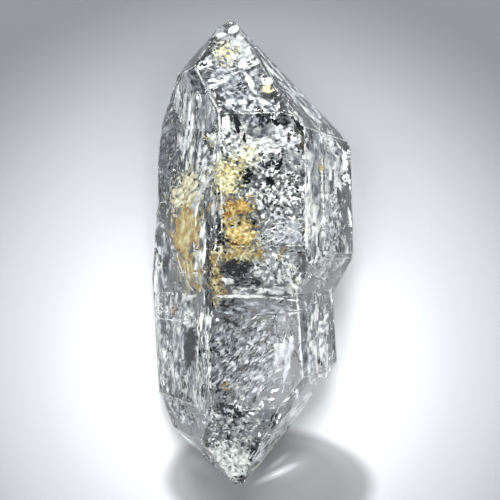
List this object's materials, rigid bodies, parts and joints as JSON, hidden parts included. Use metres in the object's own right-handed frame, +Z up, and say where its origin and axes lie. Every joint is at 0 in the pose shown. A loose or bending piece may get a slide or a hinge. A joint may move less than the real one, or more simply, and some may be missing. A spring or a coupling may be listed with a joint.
{
  "type": "herkimer diamond crystal",
  "caption": "Doubly terminated quartz crystal of Herkimer habit, two crystals grown together, with dark, white and ochre inclusions, lying on its back prism face.",
  "frame": {"origin": "centre of the crystal's outline on the surface that it lies on, under the back prism face", "axes": "+Y along the crystal towards the upper tip of the picture, +X to the picture's right, +Z up out of the front prism face"},
  "size_m": [0.0278, 0.063, 0.022],
  "materials": {
    "quartz": "clear natural crystal, glossy faces with fine growth lines",
    "veil": "white silvery healed cracks and bubble veils inside the quartz",
    "hydrocarbon": "black shiny hydrocarbon flakes inside the quartz",
    "iron_clay": "ochre to pale yellow iron-stained clay inside the quartz"
  },
  "bodies": {
    "root": {"herkimer_diamond": "quartz"}
  },
  "joints": []
}
